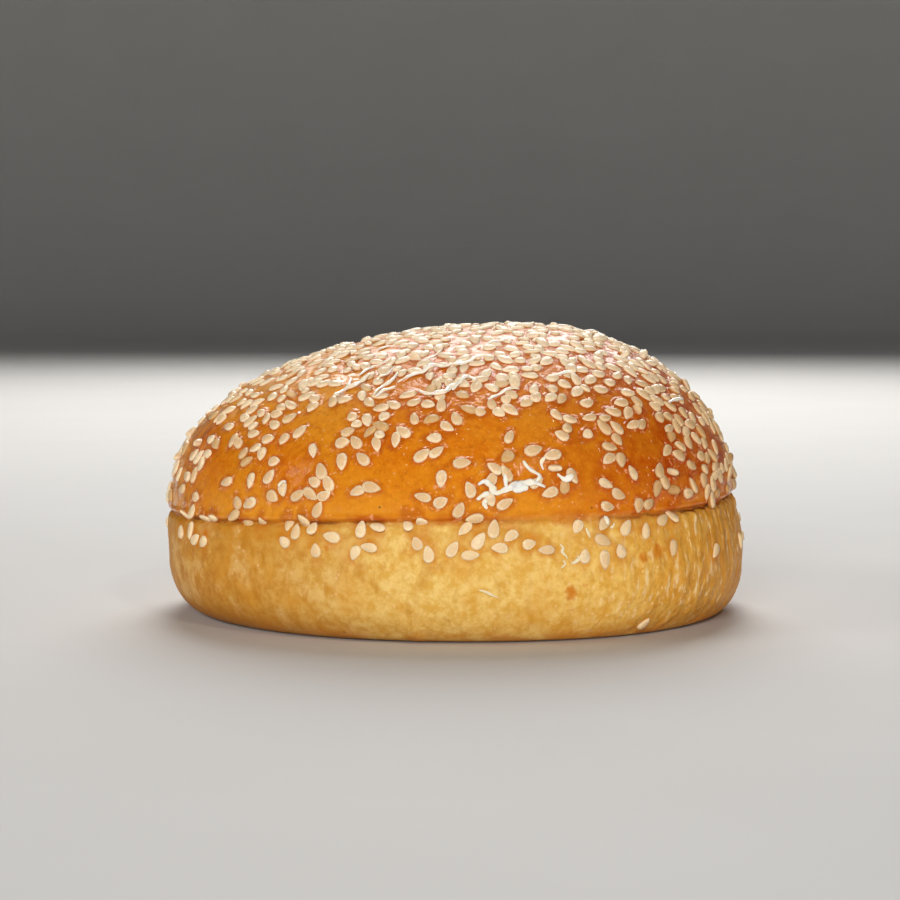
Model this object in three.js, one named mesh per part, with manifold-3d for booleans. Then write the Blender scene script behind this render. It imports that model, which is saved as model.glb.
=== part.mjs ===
// A seeded burger roll, whole and uncut: a squat pale drum of bread under a browned, leaning cap,
// with sesame seeds baked on. It is one solid, because the seeds are stuck to the crust for good.
// Millimetres, +Z up. The origin is on the table under the middle of the roll, and the front is -Y.
import * as THREE from 'three';
import { mergeVertices } from 'three/addons/utils/BufferGeometryUtils.js';
import Module from 'manifold-3d';

// The roll's driving dimensions.
const ROLL_WIDTH = 101.4; // left to right at the waist of the pale band
const DEPTH_SHARE = 0.972; // front to back, as a share of the width
const ROLL_HEIGHT = 49.9; // table to peak, without the seeds
const WAIST_HEIGHT = 10.5; // the widest level of the band
const FOOT_ROUNDING = 6.2; // how far the foot is drawn in under the waist
const FOOT_TUCK = 2.2; // and how much further where the oven lifted it most
const TUCK_AZIMUTH = THREE.MathUtils.degToRad(-122); // front left, where -90 is the front
const TUCK_REACH = 0.35; // how far round it is tucked, as the cosine where it ends

// The browned cap.
const CREASE_HEIGHT = 19.6; // where the cap meets the pale band
const CAP_WIDTH = 99.4; // the cap's rim, just above the crease
const CAP_FULLNESS = 2.16; // 2 makes an elliptic dome, more gives it fuller shoulders
const BAND_SET_RIGHT = 0.5; // the band's axis, right of the middle of the roll
const CAP_SET_LEFT = 0.9; // the cap sits a little to the left on the band
const PEAK_SET_RIGHT = 11.0; // and its peak leans to the right

// The crease between band and cap.
const CREASE_DEPTH = 0.7; // the groove under the cap's rim, where it is deepest
const CREASE_WIDTH = 0.9;
const RIM_SWELL = 0.2; // the thin roll of crust that hangs over the groove
const CREASE_FADE = 0.75; // the share of its depth that it loses where it fades out
const FADE_AZIMUTH = THREE.MathUtils.degToRad(-70); // front right
const FADE_REACH = 0.16; // how far round it stays faded, as a sine of half the angle
const CREASE_CLIMB = 1.3; // it lies higher on the right and lower on the left by this
const CREASE_WANDER = 0.45; // and wanders this far up and down, three times round
const WANDER_START = 0.6;
const CLIMB_REACH = 9; // how far above and below the crease the crust follows it

// Dough never bakes quite round: slow swells along three directions. The shares add up to 1.
const LUMP_SIZE = 0.55; // how far the swells push the crust out or in, at most
const LUMPS_FROM = 9; // they fade away below this height, towards the flat base
const SWELLS = [
  { share: 0.5, along: new THREE.Vector3(0.8, 0.6, 0.1), waveLength: 82, start: 0.8 },
  { share: 0.3, along: new THREE.Vector3(0.4, -0.9, 0.2), waveLength: 57, start: 2.1 },
  { share: 0.2, along: new THREE.Vector3(0.5, 0.3, 0.8), waveLength: 50, start: 0.3 },
];

// The faceted skin.
const SECTORS = 48;
const FOOT_RINGS = 3;
const BAND_RINGS = 2;
const CAP_RINGS = 9;

// A sesame seed, as a drop that sinks to its waist in the crust.
const SEED_LENGTH = 3.5;
const SEED_WIDTH = 2.15;
const SEED_STANDS = 0.6; // how far it stands out of the crust
const SEED_TAPER = 0.55; // how much narrower the pointed end is
const SEED_SINK = 0.08;
const SEED_SIDES = 5;
const SEED_BANDS = 3;
const SMALLEST_SEED = 0.88; // seeds come in sizes from this share up to 1

// Where the seeds lie.
const CAP_SEEDS = 225;
const SEED_SPACING = 4.1; // between the middles of two seeds on the cap
const TOWARDS_TOP = 0.72; // 1 spreads them evenly up the cap, 0.5 is how they fall from above
const LOWEST_ON_CAP = 0.05; // the lowest and highest seeds, as shares of the cap's height
const HIGHEST_ON_CAP = 0.999;
const STRAY_SPACING = 2.4; // between two seeds on the band
const STRAY_STRETCH = 1.6; // a group of strays is wider than it is high by this
const STRAY_DROP = 0.8; // the share of a group's spread that lies below its place
const DRAW_START = 20117;
// Seeds that slid down on to the band: azimuth in degrees, height, how many, and their spread.
const STRAYS = [
  { azimuth: -112, height: 18.4, count: 8, spread: 4.6 },
  { azimuth: -92, height: 16.0, count: 4, spread: 2.8 },
  { azimuth: -80, height: 17.8, count: 7, spread: 4.6 },
  { azimuth: -56, height: 17.6, count: 10, spread: 5.8 },
  { azimuth: -32, height: 12.6, count: 1, spread: 0.0 },
  { azimuth: -51, height: 2.2, count: 1, spread: 0.0 },
  { azimuth: -150, height: 19.2, count: 6, spread: 4.4 },
  { azimuth: 176, height: 16.4, count: 4, spread: 4.0 },
  { azimuth: -12, height: 15.2, count: 3, spread: 4.5 },
  { azimuth: 60, height: 16.0, count: 5, spread: 6.0 },
  { azimuth: 96, height: 17.6, count: 4, spread: 5.0 },
  { azimuth: 128, height: 15.4, count: 4, spread: 6.0 },
];
// Patches of the cap that the seeds missed: azimuth in degrees, height and radius.
const BARE_PATCHES = [
  { azimuth: -87, height: 33.0, radius: 4.6 },
  { azimuth: -76, height: 35.0, radius: 3.2 },
  { azimuth: -65, height: 29.5, radius: 3.4 },
  { azimuth: -50, height: 30.5, radius: 4.2 },
  { azimuth: -75, height: 22.5, radius: 2.8 },
  { azimuth: -63, height: 22.5, radius: 2.6 },
  { azimuth: -118, height: 34.0, radius: 3.0 },
  { azimuth: -122, height: 27.5, radius: 3.2 },
  { azimuth: -101, height: 29.0, radius: 3.4 },
  { azimuth: -101, height: 22.8, radius: 3.2 },
  { azimuth: -145, height: 28.5, radius: 4.0 },
  { azimuth: 20, height: 31.0, radius: 4.2 },
  { azimuth: 55, height: 27.0, radius: 3.6 },
  { azimuth: 88, height: 33.0, radius: 4.4 },
  { azimuth: 121, height: 25.5, radius: 3.4 },
  { azimuth: 158, height: 30.0, radius: 4.0 },
];

// Steps along the skin, for working out which way it faces.
const TURN_STEP = 0.02;
const CLIMB_STEP = 0.2;
const MERGE_WITHIN = 1e-4;

const WAIST_RADIUS = ROLL_WIDTH / 2;
const CAP_RADIUS = CAP_WIDTH / 2;
const CAP_HEIGHT = ROLL_HEIGHT - CREASE_HEIGHT;

const clamp01 = (x) => Math.min(1, Math.max(0, x));
const ease = (low, high, x) => {
  const t = clamp01((x - low) / (high - low));
  return t * t * (3 - 2 * t);
};
const bell = (x, width) => Math.exp(-((x / width) ** 2));

// How strongly the crease is marked: it is sharp at the front and left, and fades out front right.
const creaseStrength = (azimuth) =>
  1 - CREASE_FADE * bell(Math.sin((azimuth - FADE_AZIMUTH) / 2), FADE_REACH);

// How much higher or lower than its usual height the crease lies.
const creaseRise = (azimuth) =>
  CREASE_CLIMB * Math.cos(azimuth) + CREASE_WANDER * Math.sin(3 * azimuth + WANDER_START);

// How far the foot is drawn in.
const footRounding = (azimuth) =>
  FOOT_ROUNDING + FOOT_TUCK * ease(TUCK_REACH, 1, Math.cos(azimuth - TUCK_AZIMUTH));

// The width of the cap at a share of its height, from 1 at the rim to 0 at the peak.
const capShare = (up) => Math.sqrt(Math.max(0, 1 - up ** CAP_FULLNESS));

// The outline of a slice through the axis: the radius at a height, before the roll is made uneven.
function sliceRadius(height, azimuth) {
  if (height < WAIST_HEIGHT) {
    const down = Math.min(1, (WAIST_HEIGHT - height) / WAIST_HEIGHT);
    return WAIST_RADIUS - footRounding(azimuth) * (1 - Math.sqrt(1 - down * down));
  }
  const above = height - CREASE_HEIGHT;
  const strength = creaseStrength(azimuth);
  const groove = CREASE_DEPTH * strength * bell(above, CREASE_WIDTH / 2);
  if (above < 0) {
    const up = (height - WAIST_HEIGHT) / (CREASE_HEIGHT - WAIST_HEIGHT);
    return WAIST_RADIUS - (WAIST_RADIUS - CAP_RADIUS) * up * up - groove;
  }
  const rim = RIM_SWELL * strength * bell(above - CREASE_WIDTH, CREASE_WIDTH / 2);
  return CAP_RADIUS * capShare(above / CAP_HEIGHT) - groove + rim;
}

// How far the swells push out a point of the crust.
function lump(point) {
  const swell = SWELLS.reduce((sum, { share, along, waveLength, start }) => {
    const turns = point.dot(along) / waveLength;
    return sum + share * Math.sin(2 * Math.PI * turns + start);
  }, 0);
  return LUMP_SIZE * swell * ease(0, LUMPS_FROM, point.z);
}

// A point of the skin. The slice is swung round the axis, then the cap is set left and its rings
// drawn towards the leaning peak, the crease is lifted where it climbs, and the lumps push out.
function skinPoint(azimuth, height, radius = sliceRadius(height, azimuth)) {
  const drawnIn = 1 - capShare(clamp01((height - CREASE_HEIGHT) / CAP_HEIGHT));
  const setLeft = CAP_SET_LEFT * ease(WAIST_HEIGHT, CREASE_HEIGHT, height);
  const aside = BAND_SET_RIGHT - setLeft + (PEAK_SET_RIGHT + setLeft) * drawnIn;
  const follows = bell(height - CREASE_HEIGHT, CLIMB_REACH) * ease(0, WAIST_HEIGHT, height);
  const point = new THREE.Vector3(
    radius * Math.cos(azimuth) + aside,
    radius * Math.sin(azimuth) * DEPTH_SHARE,
    height + creaseRise(azimuth) * follows,
  );
  const outwards = new THREE.Vector3(point.x, point.y, height - WAIST_HEIGHT).normalize();
  return point.addScaledVector(outwards, lump(point));
}

// The way the skin faces, from its slope round the roll and up it.
function skinNormal(azimuth, height) {
  const climb = height + CLIMB_STEP < ROLL_HEIGHT ? CLIMB_STEP : -CLIMB_STEP;
  const here = skinPoint(azimuth, height);
  const round = skinPoint(azimuth + TURN_STEP, height).sub(here);
  const upward = skinPoint(azimuth, height + climb).sub(here).multiplyScalar(Math.sign(climb));
  return round.cross(upward).normalize();
}

// The heights of the skin's rings from the foot to the last one under the peak. They crowd at the
// crease.
function ringHeights() {
  const heights = [];
  for (let i = 1; i <= FOOT_RINGS; i++) {
    heights.push(WAIST_HEIGHT * (1 - Math.cos((i / FOOT_RINGS) * (Math.PI / 2))));
  }
  for (let i = 1; i <= BAND_RINGS; i++) {
    heights.push(THREE.MathUtils.lerp(WAIST_HEIGHT, CREASE_HEIGHT - CREASE_WIDTH, i / BAND_RINGS));
  }
  heights.push(CREASE_HEIGHT, CREASE_HEIGHT + CREASE_WIDTH);
  const first = Math.asin((CREASE_WIDTH * 2) / CAP_HEIGHT);
  for (let i = 0; i < CAP_RINGS; i++) {
    const angle = THREE.MathUtils.lerp(first, Math.PI / 2, i / CAP_RINGS);
    heights.push(CREASE_HEIGHT + CAP_HEIGHT * Math.sin(angle));
  }
  return heights;
}

// The body of the roll: a turned profile whose every point is then moved on to the uneven skin.
function breadGeometry() {
  const profile = [0, 0, ...ringHeights(), ROLL_HEIGHT].map((height, i, heights) => {
    const onAxis = i === 0 || i === heights.length - 1;
    return new THREE.Vector2(onAxis ? 0 : WAIST_RADIUS, height);
  });
  const geometry = new THREE.LatheGeometry(profile, SECTORS).rotateX(Math.PI / 2);
  const position = geometry.getAttribute('position');
  for (let i = 0; i < position.count; i++) {
    const [x, y, height] = [position.getX(i), position.getY(i), position.getZ(i)];
    const azimuth = Math.atan2(y, x);
    const onAxis = Math.hypot(x, y) < MERGE_WITHIN;
    const moved = skinPoint(azimuth, height, onAxis ? 0 : sliceRadius(height, azimuth));
    position.setXYZ(i, moved.x, moved.y, moved.z);
  }
  return geometry;
}

// One seed at the origin: a drop along X, tapered to its point, with steep sides through the XY
// plane.
function seedGeometry() {
  const geometry = new THREE.SphereGeometry(0.5, SEED_SIDES, SEED_BANDS).rotateX(Math.PI / 2);
  const position = geometry.getAttribute('position');
  for (let i = 0; i < position.count; i++) {
    const along = position.getX(i);
    const across = position.getY(i) * (1 - SEED_TAPER * along);
    position.setXYZ(i, along * SEED_LENGTH, across * SEED_WIDTH, position.getZ(i) * 2 * SEED_STANDS);
  }
  return geometry;
}

// Draws between 0 and 1 that come out the same on every run.
const DRAW_FACTOR = 48271;
const DRAW_RANGE = 2 ** 31 - 1;
let drawState = DRAW_START;
function draw() {
  drawState = (drawState * DRAW_FACTOR) % DRAW_RANGE;
  return drawState / DRAW_RANGE;
}

// Places for the seeds: the strays first, then the cap, where each keeps its distance.
function seedPlaces() {
  const places = [];
  const patches = BARE_PATCHES.map(({ azimuth, height, radius }) => ({
    middle: skinPoint(THREE.MathUtils.degToRad(azimuth), height),
    radius,
  }));
  const addIfFree = (azimuth, height, spacing) => {
    const turn = draw() * 2 * Math.PI;
    const size = THREE.MathUtils.lerp(SMALLEST_SEED, 1, draw());
    const at = skinPoint(azimuth, height);
    if (patches.some(({ middle, radius }) => middle.distanceTo(at) < radius)) return false;
    if (places.some((other) => other.at.distanceTo(at) < spacing)) return false;
    places.push({ at, facing: skinNormal(azimuth, height), turn, size });
    return true;
  };
  for (const { azimuth, height, count, spread } of STRAYS) {
    for (let added = 0; added < count; ) {
      const across = ((draw() * 2 - 1) * spread * STRAY_STRETCH) / WAIST_RADIUS;
      const up = (draw() - STRAY_DROP) * spread;
      const round = THREE.MathUtils.degToRad(azimuth) + across;
      added += addIfFree(round, height + up, STRAY_SPACING) ? 1 : 0;
    }
  }
  for (let added = 0; added < CAP_SEEDS; ) {
    const up = THREE.MathUtils.lerp(LOWEST_ON_CAP, HIGHEST_ON_CAP, draw() ** TOWARDS_TOP);
    const round = draw() * 2 * Math.PI;
    added += addIfFree(round, CREASE_HEIGHT + CAP_HEIGHT * up, SEED_SPACING) ? 1 : 0;
  }
  return places;
}

// A seed laid on the skin at a place, turned about the way the skin faces there.
function laidSeed(seed, { at, facing, turn, size }) {
  const up = new THREE.Vector3(0, 0, 1);
  const turned = new THREE.Quaternion().setFromAxisAngle(up, turn);
  const tipped = new THREE.Quaternion().setFromUnitVectors(up, facing).multiply(turned);
  const middle = at.clone().addScaledVector(facing, -SEED_SINK);
  const scale = new THREE.Vector3(size, size, size);
  return seed.clone().applyMatrix4(new THREE.Matrix4().compose(middle, tipped, scale));
}

const wasm = await Module();
wasm.setup();

// A closed geometry as a solid that can be joined.
function solidOf(geometry) {
  const bare = geometry.clone();
  bare.deleteAttribute('normal');
  bare.deleteAttribute('uv');
  const merged = mergeVertices(bare, MERGE_WITHIN);
  const vertProperties = merged.getAttribute('position').array;
  const triVerts = new Uint32Array(merged.index.array);
  return new wasm.Manifold(new wasm.Mesh({ numProp: 3, vertProperties, triVerts }));
}

// A solid back as a geometry.
function geometryOf(solid) {
  const { vertProperties, triVerts } = solid.getMesh();
  const geometry = new THREE.BufferGeometry();
  geometry.setAttribute('position', new THREE.BufferAttribute(vertProperties, 3));
  geometry.setIndex(new THREE.BufferAttribute(triVerts, 1));
  geometry.computeVertexNormals();
  return geometry;
}

// The roll: its bread with every seed fused on.
function seededRoll() {
  const seed = seedGeometry();
  const bread = solidOf(breadGeometry());
  const seeded = seedPlaces().reduce((roll, spot) => roll.add(solidOf(laidSeed(seed, spot))), bread);
  const crust = new THREE.MeshStandardMaterial({ color: 0xc8822f, roughness: 0.42, metalness: 0 });
  const mesh = new THREE.Mesh(geometryOf(seeded), crust);
  mesh.name = 'roll';
  return mesh;
}

const burgerRoll = new THREE.Group();
burgerRoll.add(seededRoll());

export default burgerRoll;
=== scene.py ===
# %% [markdown]
# A seeded burger roll, whole and uncut.
#
# The real thing is one ball of dough. Its top was brushed with egg, strewn with sesame and
# browned, its side stayed pale because the rolls nearly touched in the oven, and a crease runs
# round between the two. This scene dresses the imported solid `roll` with three pieces: the crust,
# the sesame seeds and the threads of dried egg glaze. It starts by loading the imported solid, which
# gives the frame that every piece has to fit.

# %% Load the frame
import math

import bmesh
import bpy
from mathutils import Matrix, Quaternion, Vector, bvhtree, kdtree, noise


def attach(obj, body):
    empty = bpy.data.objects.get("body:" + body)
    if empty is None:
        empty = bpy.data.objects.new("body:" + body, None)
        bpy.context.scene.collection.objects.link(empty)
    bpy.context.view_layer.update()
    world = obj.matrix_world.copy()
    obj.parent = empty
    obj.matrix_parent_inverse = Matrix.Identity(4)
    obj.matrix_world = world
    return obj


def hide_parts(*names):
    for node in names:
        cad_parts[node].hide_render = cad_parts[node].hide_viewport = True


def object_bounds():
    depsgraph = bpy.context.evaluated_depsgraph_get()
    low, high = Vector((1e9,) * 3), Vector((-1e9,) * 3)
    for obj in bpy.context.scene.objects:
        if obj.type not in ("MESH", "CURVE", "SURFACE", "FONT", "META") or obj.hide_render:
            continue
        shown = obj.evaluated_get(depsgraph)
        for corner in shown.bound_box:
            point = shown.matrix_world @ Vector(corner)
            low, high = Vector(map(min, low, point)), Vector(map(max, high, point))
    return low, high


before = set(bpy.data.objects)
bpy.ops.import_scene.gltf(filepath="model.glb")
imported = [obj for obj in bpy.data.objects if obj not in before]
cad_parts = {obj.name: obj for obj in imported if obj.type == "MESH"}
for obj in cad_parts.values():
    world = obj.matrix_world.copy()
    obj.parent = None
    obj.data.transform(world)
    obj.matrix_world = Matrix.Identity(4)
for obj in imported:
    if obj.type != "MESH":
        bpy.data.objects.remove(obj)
cad_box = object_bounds()
print("CAD box", cad_box)

# %% [markdown]
# The sizes of the roll are those of the solid, in metres. A roll can't be shaped as one clean
# surface of revolution: its peak leans, its crease climbs on one side and the dough has slow
# swells. So one function says where a point of the skin lies, from its direction round the roll
# and its height, and every piece below uses it: the crust is moved on to it and the seeds are laid
# on it.

# %% The roll's sizes
MM = 0.001
ROLL_WIDTH = 101.4 * MM
DEPTH_SHARE = 0.972
ROLL_HEIGHT = 49.9 * MM
WAIST_HEIGHT = 10.5 * MM
FOOT_ROUNDING = 6.2 * MM
FOOT_TUCK = 2.2 * MM
TUCK_AZIMUTH = math.radians(-122)
TUCK_REACH = 0.35
CREASE_HEIGHT = 19.6 * MM
CAP_WIDTH = 99.4 * MM
CAP_FULLNESS = 2.16
BAND_SET_RIGHT = 0.5 * MM
CAP_SET_LEFT = 0.9 * MM
PEAK_SET_RIGHT = 11.0 * MM
CREASE_DEPTH = 0.7 * MM
CREASE_WIDTH = 0.9 * MM
RIM_SWELL = 0.2 * MM
CREASE_FADE = 0.75
FADE_AZIMUTH = math.radians(-70)
FADE_REACH = 0.16
CREASE_CLIMB = 1.3 * MM
CREASE_WANDER = 0.45 * MM
WANDER_START = 0.6
CLIMB_REACH = 9 * MM
LUMP_SIZE = 0.55 * MM
LUMPS_FROM = 9 * MM
SWELLS = [
    (0.5, Vector((0.8, 0.6, 0.1)), 82 * MM, 0.8),
    (0.3, Vector((0.4, -0.9, 0.2)), 57 * MM, 2.1),
    (0.2, Vector((0.5, 0.3, 0.8)), 50 * MM, 0.3),
]
WAIST_RADIUS = ROLL_WIDTH / 2
CAP_RADIUS = CAP_WIDTH / 2
CAP_HEIGHT = ROLL_HEIGHT - CREASE_HEIGHT


# %% Where a point of the skin lies
def ease(low, high, x):
    t = min(1, max(0, (x - low) / (high - low)))
    return t * t * (3 - 2 * t)


def bell(x, width):
    return math.exp(-((x / width) ** 2))


def crease_strength(azimuth):
    return 1 - CREASE_FADE * bell(math.sin((azimuth - FADE_AZIMUTH) / 2), FADE_REACH)


def crease_rise(azimuth):
    return CREASE_CLIMB * math.cos(azimuth) + CREASE_WANDER * math.sin(3 * azimuth + WANDER_START)


def foot_rounding(azimuth):
    return FOOT_ROUNDING + FOOT_TUCK * ease(TUCK_REACH, 1, math.cos(azimuth - TUCK_AZIMUTH))


def cap_share(up):
    return math.sqrt(max(0, 1 - max(0, up) ** CAP_FULLNESS))


def slice_radius(height, azimuth):
    if height < WAIST_HEIGHT:
        down = min(1, (WAIST_HEIGHT - height) / WAIST_HEIGHT)
        return WAIST_RADIUS - foot_rounding(azimuth) * (1 - math.sqrt(1 - down * down))
    above = height - CREASE_HEIGHT
    strength = crease_strength(azimuth)
    groove = CREASE_DEPTH * strength * bell(above, CREASE_WIDTH / 2)
    if above < 0:
        up = (height - WAIST_HEIGHT) / (CREASE_HEIGHT - WAIST_HEIGHT)
        return WAIST_RADIUS - (WAIST_RADIUS - CAP_RADIUS) * up * up - groove
    rim = RIM_SWELL * strength * bell(above - CREASE_WIDTH, CREASE_WIDTH / 2)
    return CAP_RADIUS * cap_share(above / CAP_HEIGHT) - groove + rim


def lump(point):
    swell = 0
    for share, along, wave_length, start in SWELLS:
        swell += share * math.sin(2 * math.pi * point.dot(along) / wave_length + start)
    return LUMP_SIZE * swell * ease(0, LUMPS_FROM, point.z)


def skin_point(azimuth, height, radius=None):
    if radius is None:
        radius = slice_radius(height, azimuth)
    drawn_in = 1 - cap_share(min(1, (height - CREASE_HEIGHT) / CAP_HEIGHT))
    set_left = CAP_SET_LEFT * ease(WAIST_HEIGHT, CREASE_HEIGHT, height)
    aside = BAND_SET_RIGHT - set_left + (PEAK_SET_RIGHT + set_left) * drawn_in
    follows = bell(height - CREASE_HEIGHT, CLIMB_REACH) * ease(0, WAIST_HEIGHT, height)
    point = Vector((
        radius * math.cos(azimuth) + aside,
        radius * math.sin(azimuth) * DEPTH_SHARE,
        height + crease_rise(azimuth) * follows,
    ))
    outwards = Vector((point.x, point.y, height - WAIST_HEIGHT)).normalized()
    return point + outwards * lump(point)


TURN_STEP = 0.02
CLIMB_STEP = 0.2 * MM


def skin_normal(azimuth, height):
    climb = CLIMB_STEP if height + CLIMB_STEP < ROLL_HEIGHT else -CLIMB_STEP
    here = skin_point(azimuth, height)
    around = skin_point(azimuth + TURN_STEP, height) - here
    upward = (skin_point(azimuth, height + climb) - here) * math.copysign(1, climb)
    return around.cross(upward).normalized()


print("Skin at the front of the crease", skin_point(math.radians(-90), CREASE_HEIGHT))

# %% [markdown]
# The camera stands where the photograph's did: a little above the table, in front of the roll,
# with a long lens. Its place is worked out from the elevation, the distance and how many pixels of
# the picture one millimetre covers. The same numbers send a ray through a pixel of the photograph,
# which later finds the spot on the crust where a thread of glaze lies.

# %% The camera
CAMERA_ELEVATION = math.radians(4.2)
CAMERA_DISTANCE = 460 * MM
PIXELS_PER_METRE = 5667
PICTURE_SIDE = 900
MIDDLE_PIXEL = Vector((453.7, 466.6))
MIDDLE_POINT = Vector((0, 0, 25 * MM))
SENSOR_MM = 36

camera_back = Vector((0, -math.cos(CAMERA_ELEVATION), math.sin(CAMERA_ELEVATION)))
camera_up = Vector((0, math.sin(CAMERA_ELEVATION), math.cos(CAMERA_ELEVATION)))
camera_right = Vector((1, 0, 0))
aim = MIDDLE_POINT.copy()
aim -= camera_right * (MIDDLE_PIXEL.x - PICTURE_SIDE / 2) / PIXELS_PER_METRE
aim += camera_up * (MIDDLE_PIXEL.y - PICTURE_SIDE / 2) / PIXELS_PER_METRE

camera_data = bpy.data.cameras.new("camera")
camera_data.sensor_width = SENSOR_MM
camera_data.lens = SENSOR_MM * CAMERA_DISTANCE * PIXELS_PER_METRE / PICTURE_SIDE
camera_data.clip_start = 0.01
camera = bpy.data.objects.new("camera", camera_data)
camera.location = aim + camera_back * CAMERA_DISTANCE
camera.rotation_euler = (math.pi / 2 - CAMERA_ELEVATION, 0, 0)
bpy.context.collection.objects.link(camera)
bpy.context.scene.camera = camera


def ray_through(x, y):
    across = camera_right * (x - PICTURE_SIDE / 2) / PIXELS_PER_METRE
    up = camera_up * (PICTURE_SIDE / 2 - y) / PIXELS_PER_METRE
    return (across + up - camera_back * CAMERA_DISTANCE).normalized()


print("Lens", round(camera_data.lens, 1), "mm, camera at", camera.location[:])

# %% [markdown]
# The crust starts as a flat grid of faces, which is rolled up. Its columns go round the roll and
# its rows go up from the middle of the base to the peak. A spun profile would give the same drum,
# but merging a spin this fine takes much longer. The rows crowd at the crease, so that its thin
# rolled lip stays crisp, and the first and last row shrink to one point each.

# %% The crust's rows
SECTORS = 480
BASE_ROWS = 7
FOOT_ROWS = 34
BAND_ROWS = 24
CREASE_ROWS = 26
CAP_ROWS = 106
CREASE_ZONE = 1.9 * MM
MERGE_WITHIN = 0.001 * MM

# Each row is a share of the slice's radius and a height.
rows = []
for i in range(BASE_ROWS):
    rows.append((i / BASE_ROWS, 0))
for i in range(FOOT_ROWS):
    rows.append((1, WAIST_HEIGHT * (1 - math.cos(i / FOOT_ROWS * math.pi / 2))))
band_top = CREASE_HEIGHT - CREASE_ZONE
for i in range(BAND_ROWS):
    rows.append((1, WAIST_HEIGHT + (band_top - WAIST_HEIGHT) * i / BAND_ROWS))
for i in range(CREASE_ROWS):
    rows.append((1, band_top + 2 * CREASE_ZONE * i / CREASE_ROWS))
lowest_angle = math.asin(CREASE_ZONE / CAP_HEIGHT)
for i in range(CAP_ROWS):
    angle = lowest_angle + (math.pi / 2 - lowest_angle) * i / CAP_ROWS
    rows.append((1, CREASE_HEIGHT + CAP_HEIGHT * math.sin(angle)))
rows.append((0, ROLL_HEIGHT))

crust_shape = bmesh.new()
bmesh.ops.create_grid(crust_shape, x_segments=SECTORS, y_segments=len(rows) - 1, size=0.5)
print("Grid of", SECTORS, "columns and", len(rows), "rows")

# %% [markdown]
# Now each vertex of the grid goes to its place on the skin, and then a little further for the
# relief that a baked crust has: soft dimples all over, upright wrinkles where the band shrank at
# the front right, blisters under the rim, and a small bump of dough over the foot. A Displace
# modifier could do the same with textures, but a function can say where each kind of relief
# belongs.

# %% Relief on the crust
WRINKLE_AZIMUTH = math.radians(-28)
WRINKLE_REACH = math.radians(34)
WRINKLE_SPACING = 2.6 * MM
WRINKLE_LENGTH = 7 * MM
WRINKLE_WAVE = 0.8
WRINKLE_WAVE_SIZE = 5 * MM
WRINKLE_DEPTH = 0.26 * MM
FINER_WRINKLES = 2.1
FINER_SHARE = 0.5
WRINKLE_SHIFT = Vector((2, 9, 4))
PORE_SHIFT = Vector((7, 3, 5))
DIMPLES = [(7 * MM, 0.10 * MM), (2.6 * MM, 0.045 * MM)]
PORES = [(4 * MM, 0.10 * MM), (1.5 * MM, 0.05 * MM)]
# Blisters under the rim: azimuth in degrees, drop below the crease, radius and height.
BLISTERS = [
    (-47, 0.9 * MM, 1.3 * MM, 0.35 * MM),
    (-43, 1.3 * MM, 0.9 * MM, 0.30 * MM),
    (-37, 1.1 * MM, 1.5 * MM, 0.40 * MM),
    (-31, 2.0 * MM, 1.2 * MM, 0.35 * MM),
    (-26, 1.2 * MM, 1.1 * MM, 0.35 * MM),
    (-18, 2.6 * MM, 1.6 * MM, 0.35 * MM),
    (-8, 1.4 * MM, 1.4 * MM, 0.35 * MM),
    (24, 1.8 * MM, 1.6 * MM, 0.40 * MM),
    (71, 1.4 * MM, 1.3 * MM, 0.35 * MM),
    (118, 2.2 * MM, 1.7 * MM, 0.40 * MM),
    (163, 1.2 * MM, 1.2 * MM, 0.30 * MM),
    (-140, 1.6 * MM, 1.4 * MM, 0.30 * MM),
]
# Baked brown spots: azimuth in degrees, height, radius and strength.
SPOTS = [
    (-69, 8.4 * MM, 1.3 * MM, 1.0),
    (-66.5, 9.4 * MM, 0.8 * MM, 0.6),
    (-50, 13.9 * MM, 1.5 * MM, 1.0),
    (-53.5, 13.2 * MM, 1.2 * MM, 0.8),
    (-145, 17.4 * MM, 1.2 * MM, 0.8),
    (-114, 15.9 * MM, 1.1 * MM, 0.5),
    (-70, 19.9 * MM, 1.6 * MM, 0.7),
    (-118, 20.4 * MM, 1.8 * MM, 0.6),
    (-86, 11.0 * MM, 0.7 * MM, 0.5),
    (14, 7.5 * MM, 1.8 * MM, 0.7),
    (38, 13.0 * MM, 1.3 * MM, 0.6),
    (83, 6.2 * MM, 1.6 * MM, 0.8),
    (111, 12.4 * MM, 1.4 * MM, 0.6),
    (149, 9.0 * MM, 1.7 * MM, 0.7),
]
# The small bump of dough that sagged over the foot: azimuth in degrees, height and radius.
FOOT_BUMP = (-98, 1.4 * MM, 1.3 * MM)
BUMP_RISE = 0.5 * MM


def turn_between(a, b):
    return (a - b + math.pi) % (2 * math.pi) - math.pi


def off_place(azimuth, height, degrees, level):
    across = turn_between(azimuth, math.radians(degrees)) * WAIST_RADIUS
    return math.hypot(across, height - level)


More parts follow.
